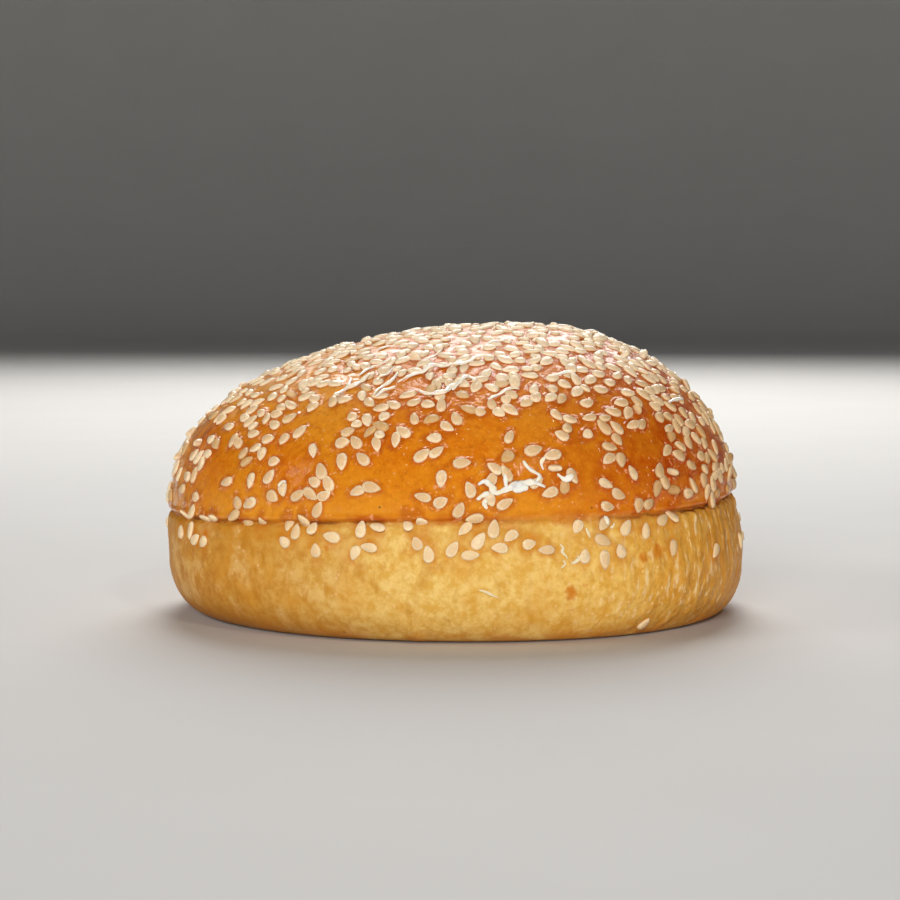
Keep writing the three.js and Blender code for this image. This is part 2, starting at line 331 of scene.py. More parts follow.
def relief(azimuth, height, point):
    on_cap = ease(-0.5 * MM, 1.5 * MM, height - CREASE_HEIGHT)
    rise = 0
    for size, depth in DIMPLES:
        rise += on_cap * depth * noise.noise(point / size)
    for size, depth in PORES:
        rise += (1 - on_cap) * depth * noise.noise(point / size + PORE_SHIFT)
    stretched = bell(turn_between(azimuth, WRINKLE_AZIMUTH), WRINKLE_REACH) * (1 - on_cap)
    sway = WRINKLE_WAVE * noise.noise(point / WRINKLE_WAVE_SIZE + WRINKLE_SHIFT)
    along = Vector((azimuth * WAIST_RADIUS / WRINKLE_SPACING + sway, height / WRINKLE_LENGTH, 0))
    wrinkle = noise.noise(along) + FINER_SHARE * noise.noise(along * FINER_WRINKLES)
    rise += stretched * WRINKLE_DEPTH * wrinkle
    for degrees, drop, radius, swell in BLISTERS:
        off = off_place(azimuth, height, degrees, CREASE_HEIGHT - drop) / radius
        if off < 1:
            rise += swell * (1 - off * off) ** 1.5
    rise *= ease(0, 3 * MM, height)
    degrees, level, radius = FOOT_BUMP
    rise += BUMP_RISE * bell(off_place(azimuth, height, degrees, level), radius)
    return rise


def spottiness(azimuth, height):
    most = 0
    for degrees, level, radius, strength in SPOTS:
        off = off_place(azimuth, height, degrees, level)
        most = max(most, strength * bell(off, radius))
    return most


above = crust_shape.verts.layers.float.new("above")
spot = crust_shape.verts.layers.float.new("spot")
faded = crust_shape.verts.layers.float.new("faded")
for vert in crust_shape.verts:
    azimuth = 2 * math.pi * round((vert.co.x + 0.5) * SECTORS) / SECTORS
    share, height = rows[round((vert.co.y + 0.5) * (len(rows) - 1))]
    point = skin_point(azimuth, height, share * slice_radius(height, azimuth))
    outwards = Vector((point.x, point.y, height - WAIST_HEIGHT)).normalized()
    place = point + outwards * relief(azimuth, height, point)
    for axis in range(3):
        place[axis] = min(max(place[axis], cad_box[0][axis]), cad_box[1][axis])
    vert.co = place
    vert[above] = (height - CREASE_HEIGHT) / MM
    vert[spot] = spottiness(azimuth, height) if share == 1 else 0
    vert[faded] = (1 - crease_strength(azimuth)) / CREASE_FADE
bmesh.ops.remove_doubles(crust_shape, verts=crust_shape.verts[:], dist=MERGE_WITHIN)
bmesh.ops.recalc_face_normals(crust_shape, faces=crust_shape.faces[:])
crust_shape.normal_update()
crust_tree = bvhtree.BVHTree.FromBMesh(crust_shape)
print("Crust", len(crust_shape.verts), "vertices,", len(crust_shape.faces), "faces")


# %% [markdown]
# Sesame seeds. One seed is a flat drop: a sphere with few faces, tapered to a point and pressed
# flat like a pillow. Over a thousand of them lie on the roll, so each has only 60 faces, and
# smooth shading does the rest. They are strewn by a rule: the first ones are the seeds of the
# solid, drawn by the same numbers, and the rest fall between them, thickest near the peak.

# %% One seed
SEED_LENGTH = 3.5 * MM
SEED_WIDTH = 2.15 * MM
SEED_STANDS = 0.6 * MM
SEED_TAPER = 0.55
SEED_SINK = 0.08 * MM
SEED_AROUND = 12
SEED_LAYERS = 5
TIP_SHARPNESS = 0.22
TIP_STARTS = 0.15
TIP_THINS = 0.25
FLAT_TOP = 0.6
BALL_RADIUS = 0.5
# The number that marks the vertices below a seed's edge, where its edge counts as 1.
UNDER_RIM = 1.6


def seed_mesh(name, length=1.0, width=1.0, bend=0.0, plump=1.0):
    shape = bmesh.new()
    bmesh.ops.create_uvsphere(
        shape, u_segments=SEED_AROUND, v_segments=SEED_LAYERS, radius=BALL_RADIUS
    )
    rim = []
    for vert in shape.verts:
        x, y, z = vert.co
        out = min(1, math.hypot(x, y) / BALL_RADIUS)
        spread = out ** (FLAT_TOP - 1) if out > 0 else 1
        x *= spread
        y *= spread
        out *= spread
        rim.append(out if z > -0.01 else UNDER_RIM)
        tip = TIP_SHARPNESS * ease(TIP_STARTS, BALL_RADIUS, x)
        narrow = (1 - SEED_TAPER * x) * (1 - tip)
        vert.co.x = x * SEED_LENGTH * length
        vert.co.y = y * SEED_WIDTH * width * narrow + bend * SEED_WIDTH * x * x
        pillow = math.sqrt(max(0, 1 - out ** 4)) * (1 - TIP_THINS * x)
        vert.co.z = math.copysign(SEED_STANDS * pillow * plump, z)
    mesh = bpy.data.meshes.new(name)
    shape.to_mesh(mesh)
    shape.free()
    return mesh, rim


SEED_KINDS = [
    seed_mesh("whole_seed", length=0.97, width=0.92),
    seed_mesh("slim_seed", length=0.91, width=0.78),
    seed_mesh("bent_seed", length=0.86, width=0.86, bend=0.35),
    seed_mesh("round_seed", length=0.77, width=0.93),
    seed_mesh("broken_seed", length=0.60, width=0.86, bend=-0.3),
]
BROKEN = len(SEED_KINDS) - 1
print("A seed has", len(SEED_KINDS[0][0].polygons), "faces")

# %% The seeds that the solid has too
SMALLEST_SEED = 0.88
CAP_SEEDS = 225
SEED_SPACING = 4.1 * MM
TOWARDS_TOP = 0.72
LOWEST_ON_CAP = 0.05
HIGHEST_ON_CAP = 0.999
STRAY_SPACING = 2.4 * MM
STRAY_STRETCH = 1.6
STRAY_DROP = 0.8
DRAW_START = 20117
DRAW_FACTOR = 48271
DRAW_RANGE = 2**31 - 1
# Strays on the band: azimuth in degrees, height, how many, and their spread.
STRAYS = [
    (-112, 18.4 * MM, 8, 4.6 * MM),
    (-92, 16.0 * MM, 4, 2.8 * MM),
    (-80, 17.8 * MM, 7, 4.6 * MM),
    (-56, 17.6 * MM, 10, 5.8 * MM),
    (-32, 12.6 * MM, 1, 0.0),
    (-51, 2.2 * MM, 1, 0.0),
    (-150, 19.2 * MM, 6, 4.4 * MM),
    (176, 16.4 * MM, 4, 4.0 * MM),
    (-12, 15.2 * MM, 3, 4.5 * MM),
    (60, 16.0 * MM, 5, 6.0 * MM),
    (96, 17.6 * MM, 4, 5.0 * MM),
    (128, 15.4 * MM, 4, 6.0 * MM),
]
# Patches of the cap that the seeds missed: azimuth in degrees, height and radius.
BARE_PATCHES = [
    (-87, 33.0 * MM, 4.6 * MM),
    (-76, 35.0 * MM, 3.2 * MM),
    (-65, 29.5 * MM, 3.4 * MM),
    (-50, 30.5 * MM, 4.2 * MM),
    (-75, 22.5 * MM, 2.8 * MM),
    (-63, 22.5 * MM, 2.6 * MM),
    (-118, 34.0 * MM, 3.0 * MM),
    (-122, 27.5 * MM, 3.2 * MM),
    (-101, 29.0 * MM, 3.4 * MM),
    (-101, 22.8 * MM, 3.2 * MM),
    (-145, 28.5 * MM, 4.0 * MM),
    (20, 31.0 * MM, 4.2 * MM),
    (55, 27.0 * MM, 3.6 * MM),
    (88, 33.0 * MM, 4.4 * MM),
    (121, 25.5 * MM, 3.4 * MM),
    (158, 30.0 * MM, 4.0 * MM),
]
patches = []
for degrees, height, radius in BARE_PATCHES:
    patches.append((skin_point(math.radians(degrees), height), radius))
draw_state = DRAW_START
seeds = []


def draw():
    global draw_state
    draw_state = draw_state * DRAW_FACTOR % DRAW_RANGE
    return draw_state / DRAW_RANGE


def add_if_free(azimuth, height, spacing):
    turn = draw() * 2 * math.pi
    size = SMALLEST_SEED + (1 - SMALLEST_SEED) * draw()
    at = skin_point(azimuth, height)
    for middle, radius in patches:
        if (middle - at).length < radius:
            return False
    for other in seeds:
        if (other["at"] - at).length < spacing:
            return False
    facing = skin_normal(azimuth, height)
    seeds.append({"at": at, "facing": facing, "turn": turn, "size": size})
    return True


for degrees, height, count, spread in STRAYS:
    added = 0
    while added < count:
        across = (draw() * 2 - 1) * spread * STRAY_STRETCH / WAIST_RADIUS
        up = (draw() - STRAY_DROP) * spread
        added += add_if_free(math.radians(degrees) + across, height + up, STRAY_SPACING)
added = 0
while added < CAP_SEEDS:
    up = LOWEST_ON_CAP + (HIGHEST_ON_CAP - LOWEST_ON_CAP) * draw() ** TOWARDS_TOP
    around = draw() * 2 * math.pi
    added += add_if_free(around, CREASE_HEIGHT + CAP_HEIGHT * up, SEED_SPACING)
print("Seeds shared with the solid:", len(seeds))
for i, seed in enumerate(seeds):
    seed.update(kind=i % BROKEN, lift=0.0, lean=(Vector((1, 0, 0)), 0.0))

# %% [markdown]
# Between those seeds fall the rest. Near the peak they lie so thick that they touch and overlap,
# and lower down they lie in loose clumps with bare crust between them. A noise pattern gives the
# clumps. A seed that lands on another one is lifted and leans against it, and a few are broken or
# stand on edge, as in any handful of sesame. Last come the clumps and lone seeds that stand out in
# the photograph. They are asked for by place and number, and the draws still choose each spot.

# %% The seeds between them
MORE_SEEDS = 770
MOST_TRIES = 40000
CLOSEST = 1.75 * MM
OVERLAP_BELOW = 2.5 * MM
OVERLAP_LIFT = 1.1
OVERLAP_LEAN = 1.1
STEEP_LEAN = 0.4
BROKEN_SHARE = 0.05
ON_EDGE_SHARE = 0.04
ON_EDGE_LEAN = 1.1
ON_EDGE_LIFT = 0.3
CLUMP_SIZE = 9 * MM
CLUMP_CONTRAST = 0.9
CLUMP_SHIFT = Vector((3, 1, 4))
CLUMP_SHARE = 0.40
LONE_SHARE = 0.06
THICKER_FROM = 0.44
THICKEST_FROM = 0.82
CLUMP_TRIES = 60
# Clumps that show in the photograph: azimuth in degrees, height, how many, and their spread.
LATE_CLUMPS = [
    (-151, 20.9 * MM, 1, 0.0),
    (-136, 20.7 * MM, 1, 0.0),
    (-129, 19.7 * MM, 1, 0.0),
    (-123, 16.6 * MM, 1, 0.0),
    (-151, 17.6 * MM, 1, 0.0),
    (-44, 19.0 * MM, 1, 0.0),
    (-50, 35.0 * MM, 5, 3.6 * MM),
    (-58, 33.4 * MM, 3, 3.0 * MM),
    (-30, 31.0 * MM, 5, 4.4 * MM),
    (-38, 38.0 * MM, 6, 4.6 * MM),
    (-65, 34.0 * MM, 2, 2.8 * MM),
    (-42, 27.0 * MM, 3, 4.4 * MM),
    (-111, 35.0 * MM, 5, 3.6 * MM),
    (-138, 34.5 * MM, 6, 3.8 * MM),
    (-75, 26.0 * MM, 3, 4.6 * MM),
    (-97, 40.5 * MM, 6, 4.0 * MM),
    (-80, 40.5 * MM, 5, 4.0 * MM),
    (-133, 22.0 * MM, 2, 2.6 * MM),
    (-119, 22.0 * MM, 4, 3.6 * MM),
    (-97, 21.8 * MM, 2, 3.0 * MM),
    (-84, 21.8 * MM, 2, 3.0 * MM),
    (-28, 22.0 * MM, 2, 2.4 * MM),
]


def crowding(point, up):
    clump = 0.5 + CLUMP_CONTRAST * noise.noise(point / CLUMP_SIZE + CLUMP_SHIFT)
    top = ease(THICKER_FROM, THICKEST_FROM, up)
    return (CLUMP_SHARE * max(0, clump) + LONE_SHARE) * (1 - top) + top


def settle_last_seed():
    seed = seeds[-1]
    nearest = min(seeds[:-1], key=lambda other: (other["at"] - seed["at"]).length_squared)
    gap = (nearest["at"] - seed["at"]).length
    overlap = max(0, 1 - gap / OVERLAP_BELOW)
    towards = (nearest["at"] - seed["at"]).normalized()
    seed["lift"] = overlap * OVERLAP_LIFT * SEED_STANDS
    seed["lean"] = (seed["facing"].cross(towards).normalized(), -overlap * OVERLAP_LEAN)
    pick = draw()
    broken_from = 1 - BROKEN_SHARE
    seed["kind"] = BROKEN if pick > broken_from else int(pick / broken_from * BROKEN)
    if draw() > 1 - ON_EDGE_SHARE:
        axis = Quaternion(seed["facing"], seed["turn"]) @ seed["facing"].orthogonal()
        seed["lean"] = (axis, ON_EDGE_LEAN)
        seed["lift"] = ON_EDGE_LIFT * SEED_STANDS


added = 0
tries = 0
while added < MORE_SEEDS and tries < MOST_TRIES:
    tries += 1
    up = LOWEST_ON_CAP + (HIGHEST_ON_CAP - LOWEST_ON_CAP) * draw()
    around = draw() * 2 * math.pi
    height = CREASE_HEIGHT + CAP_HEIGHT * up
    point = skin_point(around, height)
    if draw() > crowding(point, up):
        continue
    if not add_if_free(around, height, CLOSEST):
        continue
    added += 1
    settle_last_seed()
for degrees, height, count, spread in LATE_CLUMPS:
    wanted = len(seeds) + count
    for _ in range(CLUMP_TRIES):
        across = (draw() * 2 - 1) * spread / CAP_RADIUS
        up = (draw() * 2 - 1) * spread
        if len(seeds) == wanted:
            continue
        if add_if_free(math.radians(degrees) + across, height + up, CLOSEST):
            settle_last_seed()
print("Seeds in all:", len(seeds), "after", tries, "tries")


# %% Lay the seeds and join them
VEIL_FROM = 1 * MM
VEIL_FULL = -2 * MM
THINNEST_VEIL = 0.35


def seed_matrix(seed):
    up = Vector((0, 0, 1))
    turned = Quaternion(up, seed["turn"])
    tipped = up.rotation_difference(seed["facing"]) @ turned
    axis, angle = seed["lean"]
    leaning = Quaternion(axis, angle) @ tipped
    middle = seed["at"] + seed["facing"] * (seed["lift"] - SEED_SINK)
    return Matrix.LocRotScale(middle, leaning, Vector.Fill(3, seed["size"]))


def into_box(points):
    move = Vector((0, 0, 0))
    for axis in range(3):
        over = max(p[axis] for p in points) - cad_box[1][axis]
        under = min(p[axis] for p in points) - cad_box[0][axis]
        move[axis] = -max(0, over) - min(0, under)
    return Matrix.Translation(move)


seed_shape = bmesh.new()
rims = []
tints = []
veils = []
for seed in seeds:
    mesh, rim = SEED_KINDS[seed["kind"]]
    laid = mesh.copy()
    laid.transform(seed_matrix(seed))
    laid.transform(into_box([v.co for v in laid.vertices]))
    seed_shape.from_mesh(laid)
    bpy.data.meshes.remove(laid)
    lies_flat = abs(seed["lean"][1]) < STEEP_LEAN
    rims.extend(rim if lies_flat else [min(1, out) for out in rim])
    tints.extend([draw()] * len(rim))
    stray = ease(VEIL_FROM, VEIL_FULL, seed["at"].z - CREASE_HEIGHT - crease_rise(0) * 0.5)
    veils.extend([stray * (THINNEST_VEIL + (1 - THINNEST_VEIL) * draw())] * len(rim))
seed_tree = bvhtree.BVHTree.FromBMesh(seed_shape)
print("Seed faces", len(seed_shape.faces))


# %% Meshes as objects
def finished(name, shape, numbers):
    mesh = bpy.data.meshes.new(name)
    shape.to_mesh(mesh)
    shape.free()
    for number_name, values in numbers.items():
        mesh.attributes.new(number_name, "FLOAT", "POINT").data.foreach_set("value", values)
    mesh.shade_smooth()
    piece = bpy.data.objects.new(name, mesh)
    bpy.context.collection.objects.link(piece)
    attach(piece, "root")
    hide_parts("roll")
    return piece


# %% [markdown]
# Crust next to a seed is painted darker, partly egg glaze pooled against the seed and partly
# painted shade where the seed sits on the crust, and the egg creeps up the seed's side. So each
# vertex of the crust gets two more numbers: `halo` hugs the outline of the nearest seeds, and
# `stain` fades further out. They are worked out once here, because a shader can't tell how near
# the next seed is.

# %% How near a seed is
HALO_REACH = 0.55
STAIN_REACH = 2.1 * MM
SEEDS_ASKED = 3

seed_places = kdtree.KDTree(len(seeds))
for i, seed in enumerate(seeds):
    seed_places.insert(seed["at"], i)
seed_places.balance()
seed_frames = [seed_matrix(seed).inverted() for seed in seeds]
halo = crust_shape.verts.layers.float.new("halo")
stain = crust_shape.verts.layers.float.new("stain")
for vert in crust_shape.verts:
    for _, i, far in seed_places.find_n(vert.co, SEEDS_ASKED):
        if far > SEED_LENGTH:
            continue
        local = seed_frames[i] @ vert.co
        out = math.hypot(local.x / SEED_LENGTH, local.y / SEED_WIDTH) * 2
        vert[halo] = max(vert[halo], 1 - ease(1, 1 + HALO_REACH, out))
        vert[stain] = max(vert[stain], bell(far, STAIN_REACH))

crust = finished("crust", crust_shape, {})
sesame = finished("sesame_seeds", seed_shape, {"rim": rims, "tint": tints, "veil": veils})
print("Triangles", [sum(len(p.vertices) - 2 for p in o.data.polygons) for o in (crust, sesame)])

# %% [markdown]
# The egg was brushed on thickly, and what the brush left over dried as pale, glossy threads that
# drape over the seeds. A curve with a bevel would give a tube of one shape, but these swell, thin
# out and end in points, so each is swept ring by ring. The threads at the front follow the
# photograph: a ray through each pixel named here finds the spot on the crust. On the other sides
# they are strewn by a rule.

# %% Routes of the threads
# Each route has a width, a flatness and the photograph's pixels that the thread passes through.
ROUTES = {
    "left_fork": (1.01 * MM, 0.7, [(337, 400), (346, 391), (357, 386), (371, 378)]),
    "left_fork_branch": (0.67 * MM, 0.7, [(346, 391), (350, 384), (351, 379)]),
    "steep_one": (0.71 * MM, 0.8, [(375, 399), (382, 389), (391, 383), (398, 376)]),
    "steep_two": (0.60 * MM, 0.8, [(377, 400), (387, 392), (397, 387)]),
    "short_one": (0.58 * MM, 0.7, [(379, 381), (387, 376), (395, 371)]),
    "long_one": (0.77 * MM, 0.8, [(398, 384), (411, 377), (425, 373), (437, 368), (455, 369),
                                  (466, 364)]),
    "wavy_one": (0.92 * MM, 0.7, [(419, 392), (427, 396), (436, 397), (445, 395), (451, 388),
                                  (463, 386)]),
    "wavy_end": (0.77 * MM, 0.7, [(452, 391), (460, 386), (468, 380), (476, 384)]),
    "ridge_one": (0.84 * MM, 0.6, [(452, 368), (462, 367), (474, 363), (487, 360)]),
    "ridge_two": (0.59 * MM, 0.7, [(488, 402), (498, 396), (510, 391), (519, 390)]),
    "high_one": (0.50 * MM, 0.7, [(484, 347), (496, 344), (508, 342)]),
    "high_two": (0.60 * MM, 0.7, [(359, 377), (367, 371), (377, 367), (391, 364)]),
    "high_three": (0.48 * MM, 0.7, [(423, 364), (431, 360), (441, 354)]),
    "high_four": (0.48 * MM, 0.7, [(377, 351), (386, 348), (396, 346)]),
    "right_one": (0.59 * MM, 0.6, [(553, 379), (568, 375), (581, 380)]),
    "right_two": (0.70 * MM, 0.6, [(666, 405), (672, 402), (680, 401)]),
    # The splash and its drops are pale glaze whose whiteness is partly a painted highlight on the
    # wet glaze.
    "splash": (1.30 * MM, 0.25, [(478, 485), (484, 482), (490, 486), (496, 493), (505, 490),
                                 (518, 485), (530, 483), (545, 487)]),
    "splash_middle": (1.90 * MM, 0.2, [(512, 489), (520, 487), (528, 488)]),
    "splash_up_left": (0.70 * MM, 0.4, [(506, 488), (505, 481), (504, 475)]),
    "splash_up_right": (0.80 * MM, 0.3, [(534, 484), (539, 476), (529, 469), (523, 461)]),
    "splash_drop": (0.77 * MM, 0.5, [(477, 500), (482, 496), (489, 493)]),
    "drip_one": (0.56 * MM, 0.5, [(543, 470), (541, 463), (544, 458)]),
    "drip_two": (0.84 * MM, 0.5, [(557, 474), (564, 480), (571, 476)]),
    # From here on the gleams, rim glints, band curls and fold are small pale glaze marks laid where
    # glints show: painted highlights.
    "rim_gleam": (0.70 * MM, 0.5, [(487, 509), (484, 503), (487, 500)]),
    "left_gleam": (0.70 * MM, 0.5, [(281, 487), (285, 482), (288, 483)]),
    "rim_glint_one": (0.60 * MM, 0.4, [(602, 517), (605, 521), (606, 525)]),
    "rim_glint_two": (0.50 * MM, 0.4, [(610, 528), (613, 526), (614, 523)]),
    "band_curl_one": (0.42 * MM, 0.4, [(560, 544), (563, 548), (562, 552), (566, 556),
                                       (567, 559)]),
    "band_curl_two": (0.42 * MM, 0.4, [(563, 560), (565, 564), (561, 568)]),
    "band_curl_three": (0.50 * MM, 0.4, [(571, 563), (575, 562), (579, 558), (577, 556)]),
    "band_curl_four": (0.45 * MM, 0.4, [(586, 528), (588, 533), (590, 538)]),
    "band_fold": (0.42 * MM, 0.3, [(479, 590), (486, 592), (492, 595), (499, 598)]),
}
PIXEL_STEP = 1.4
STREWN_THREADS = 26
STREWN_STEP = 0.25 * MM
STREWN_FROM = -8
STREWN_TURN = 196
STREWN_LOWEST = 0.5
STREWN_SPAN = 0.46
STREWN_THINNEST = 0.32 * MM
STREWN_THICKER_BY = 0.3 * MM
STREWN_FLATNESS = 0.7
FEWEST_STEPS = 8
MORE_STEPS = 26
WANDER = 0.7
CLIMB_SHARE = 0.5
CLEAR_OF_PEAK = 8 * MM
BELOW_PEAK = 0.3 * MM


def rounded(route):
    ends = [route[0], *route, route[-1]]
    smooth = []
    for before, first, second, after in zip(ends, ends[1:], ends[2:], ends[3:]):
        a, b, c, d = (Vector(p) for p in (before, first, second, after))
        steps = max(2, round((c - b).length / PIXEL_STEP))
        for i in range(steps):
            t = i / steps
            bend = (2 * a - 5 * b + 4 * c - d) * t * t + (3 * b - a - 3 * c + d) * t ** 3
            smooth.append((2 * b + (c - a) * t + bend) / 2)
    smooth.append(Vector(route[-1]))
    return smooth


threads = []
for width, flatness, route in ROUTES.values():
    on_crust = []
    for x, y in rounded(route):
        point, facing, _, _ = crust_tree.ray_cast(camera.location, ray_through(x, y))
        if point is not None:
            on_crust.append((point, facing))
    threads.append((width, flatness, on_crust))

for _ in range(STREWN_THREADS):
    azimuth = math.radians(STREWN_FROM + STREWN_TURN * draw())
    height = CREASE_HEIGHT + CAP_HEIGHT * (STREWN_LOWEST + STREWN_SPAN * draw())
    heading = draw() * 2 * math.pi
    width = STREWN_THINNEST + STREWN_THICKER_BY * draw()
    on_crust = []
    for _ in range(FEWEST_STEPS + int(MORE_STEPS * draw())):
        point = skin_point(azimuth, height)
        on_crust.append((point, skin_normal(azimuth, height)))
        heading += (draw() - 0.5) * WANDER
        from_peak = max(CLEAR_OF_PEAK, math.hypot(point.x, point.y))
        azimuth += STREWN_STEP * math.cos(heading) / from_peak
        height += STREWN_STEP * CLIMB_SHARE * math.sin(heading)
        height = min(height, ROLL_HEIGHT - BELOW_PEAK)
    threads.append((width, STREWN_FLATNESS, on_crust))
print("Threads", len(threads))

# %% Sweep the threads over the seeds
THREAD_SIDES = 8
SEARCH_ABOVE = 3 * MM
THREAD_RISES = 0.55
DRAPE_REACH = 2
THIN_END = 0.25
END_CUT = 0.3
END_BLUNTNESS = 0.6
SWELLING = 0.75
SWELLING_SIZE = 1.1 * MM


def smoothed(values, reach, rule):
    return [rule(values[max(0, i - reach):i + reach + 1]) for i in range(len(values))]


def average(values):
    return sum(values) / len(values)


glaze_shape = bmesh.new()
for width, flatness, on_crust in threads:
    lifts = []
    for point, facing in on_crust:
        _, _, _, far = seed_tree.ray_cast(point + facing * SEARCH_ABOVE, -facing, SEARCH_ABOVE)
        lifts.append(0 if far is None else SEARCH_ABOVE - far)
    lifts = smoothed(smoothed(lifts, DRAPE_REACH, max), DRAPE_REACH, average)
    last = len(on_crust) - 1
    middles = [point + facing * (lift + THREAD_RISES * width * flatness)
               for (point, facing), lift in zip(on_crust, lifts)]
    rings = []
    for i, (middle, (_, facing)) in enumerate(zip(middles, on_crust)):
        along = (middles[min(i + 1, last)] - middles[max(i - 1, 0)]).normalized()
        side = along.cross(facing).normalized()
        along_share = (i + END_CUT) / (last + 2 * END_CUT)
        taper = THIN_END + (1 - THIN_END) * math.sin(math.pi * along_share) ** END_BLUNTNESS
        half = width / 2 * taper * (1 + SWELLING * noise.noise(middle / SWELLING_SIZE))
        ring = []
        for k in range(THREAD_SIDES):
            turn = 2 * math.pi * k / THREAD_SIDES
            sideways = side * half * math.cos(turn)
            ring.append(middle + sideways + facing * half * flatness * math.sin(turn))
        moved = into_box(ring)
        rings.append([glaze_shape.verts.new(moved @ place) for place in ring])
    for lower, upper in zip(rings, rings[1:]):
        for k in range(THREAD_SIDES):
            after = (k + 1) % THREAD_SIDES
            glaze_shape.faces.new((lower[k], lower[after], upper[after], upper[k]))
    glaze_shape.faces.new(rings[0][::-1])
    glaze_shape.faces.new(rings[-1])
bmesh.ops.recalc_face_normals(glaze_shape, faces=glaze_shape.faces[:])
glaze = finished("glaze_threads", glaze_shape, {})
print("Glaze faces", len(glaze.data.polygons))


# %% [markdown]
# Materials are built from nodes. A few helpers keep the recipes short: `feed` sets a socket to a
# number or links it to another node, `mixed` lays one colour over another, `cloudy` is a noise of
# a given size in metres, and `between` turns a range of values into a soft mask. `times` lets one
# mask limit another, in the tree of the recipe that is being written.

# %% Helpers for recipes
def new_recipe(name):
    material = bpy.data.materials.new(name)
    material.use_nodes = True
    return material, material.node_tree, material.node_tree.nodes["Principled BSDF"]


def feed(tree, socket, value):
    if isinstance(value, bpy.types.NodeSocket):
        tree.links.new(value, socket)
    elif socket.type == "RGBA":
        socket.default_value = (*value, 1)
    else:
        socket.default_value = value


def mixed(tree, share, under, over, way="MIX"):
    node = tree.nodes.new("ShaderNodeMix")
    node.data_type = "RGBA"
    node.blend_type = way
    feed(tree, node.inputs[0], share)
    feed(tree, node.inputs[6], under)
    feed(tree, node.inputs[7], over)
    return node.outputs[2]


def sums(tree, operation, first, second):
    node = tree.nodes.new("ShaderNodeMath")
    node.operation = operation
    feed(tree, node.inputs[0], first)
    feed(tree, node.inputs[1], second)
    return node.outputs[0]


def number(tree, name):
    node = tree.nodes.new("ShaderNodeAttribute")
    node.attribute_name = name
    return node.outputs["Fac"]


def cloudy(tree, size, detail=3.0, stretch=(1, 1, 1), twist=0.0, rough=0.5):
    coordinates = tree.nodes.new("ShaderNodeTexCoord")
    mapping = tree.nodes.new("ShaderNodeMapping")
    mapping.inputs["Scale"].default_value = [1 / (size * s) for s in stretch]
    node = tree.nodes.new("ShaderNodeTexNoise")
    node.inputs["Scale"].default_value = 1
    node.inputs["Detail"].default_value = detail
    node.inputs["Distortion"].default_value = twist
    node.inputs["Roughness"].default_value = rough
    tree.links.new(coordinates.outputs["Object"], mapping.inputs["Vector"])
    tree.links.new(mapping.outputs["Vector"], node.inputs["Vector"])
    return node.outputs["Fac"]


def flecks(tree, cell, radius):
    coordinates = tree.nodes.new("ShaderNodeTexCoord")
    node = tree.nodes.new("ShaderNodeTexVoronoi")
    node.inputs["Scale"].default_value = 1 / cell
    tree.links.new(coordinates.outputs["Object"], node.inputs["Vector"])
    return between(tree, node.outputs["Distance"], radius / cell, 0.5 * radius / cell)


def between(tree, value, low, high):
    node = tree.nodes.new("ShaderNodeMapRange")
    node.interpolation_type = "SMOOTHSTEP"
    feed(tree, node.inputs["Value"], value)
    feed(tree, node.inputs["From Min"], low)
    feed(tree, node.inputs["From Max"], high)
    return node.outputs["Result"]


def bumped(tree, height, distance, strength=1.0, under=None):
    node = tree.nodes.new("ShaderNodeBump")
    feed(tree, node.inputs["Height"], height)
    feed(tree, node.inputs["Distance"], distance)
    feed(tree, node.inputs["Strength"], strength)
    if under is not None:
        feed(tree, node.inputs["Normal"], under)
    return node.outputs["Normal"]


def place_along(tree, axis):
    coordinates = tree.nodes.new("ShaderNodeTexCoord")
    split = tree.nodes.new("ShaderNodeSeparateXYZ")
    tree.links.new(coordinates.outputs["Object"], split.inputs["Vector"])
    return split.outputs[axis]


def times(first, second):
    return sums(tree, "MULTIPLY", first, second)


print("Helpers ready")

# %% [markdown]
# The crust's recipe. The cap is glazed: an orange-brown crust under a clear glossy coat, deeper
# and redder towards the right, golden near the rim. The band is the pale, waxy skin of soft bread,
# mottled yellow and cream. A number on each vertex says how many millimetres it lies above the
# crease, so the change of colour follows the crease exactly. One flat colour with a noise on top
# would look like plastic. Real crust is uneven at every size, so each line below lays one colour
# over the last, in patches, grain or specks of its own size. A few of these layers are painted
# light: glints on the glaze, and shade towards the band's sides, along the crease and round the
# seeds.

# %% The crust's colours
GOLDEN = (0.70, 0.235, 0.009)
ORANGE = (0.65, 0.160, 0.002)
DEEP = (0.37, 0.029, 0.0005)
STRIP = (0.50, 0.095, 0.002)
SUNNY = (0.92, 0.37, 0.025)
UMBER = (0.34, 0.050, 0.001)
PAINTED_GLINT = (0.95, 0.62, 0.30)
RIM_GOLD = (0.80, 0.34, 0.022)
PEACH_GLINT = (0.90, 0.42, 0.20)
CREAM = (0.85, 0.585, 0.190)
YELLOW = (0.71, 0.395, 0.072)
AMBER = (0.68, 0.30, 0.028)
WARM = (0.52, 0.21, 0.015)
OCHRE = (0.42, 0.155, 0.012)
SIDE_SHADE_TINT = (0.67, 0.41, 0.100)
RIGHT_TINT = (1.0, 0.90, 0.66)
STAIN_AND_SHADE = (0.56, 0.175, 0.010)
GLINT_STREAK = (0.95, 0.78, 0.46)
PINK_GLINT = (0.88, 0.56, 0.27)
PALE_GOLD = (0.86, 0.40, 0.030)
PALE_PATCH = (0.86, 0.58, 0.22)
BROWN_AND_SHADE_LINE = (0.20, 0.055, 0.008)
SPOT_BROWN = (0.60, 0.175, 0.004)
FLECK = (0.10, 0.045, 0.012)
UNDERSIDE = (0.30, 0.13, 0.035)

crust_look, tree, shader = new_recipe("baked_crust")
above = number(tree, "above")
near_seed = number(tree, "halo")
spot = number(tree, "spot")
across = place_along(tree, "X")
print("Cap stretches over", CAP_HEIGHT / MM, "mm above the crease")

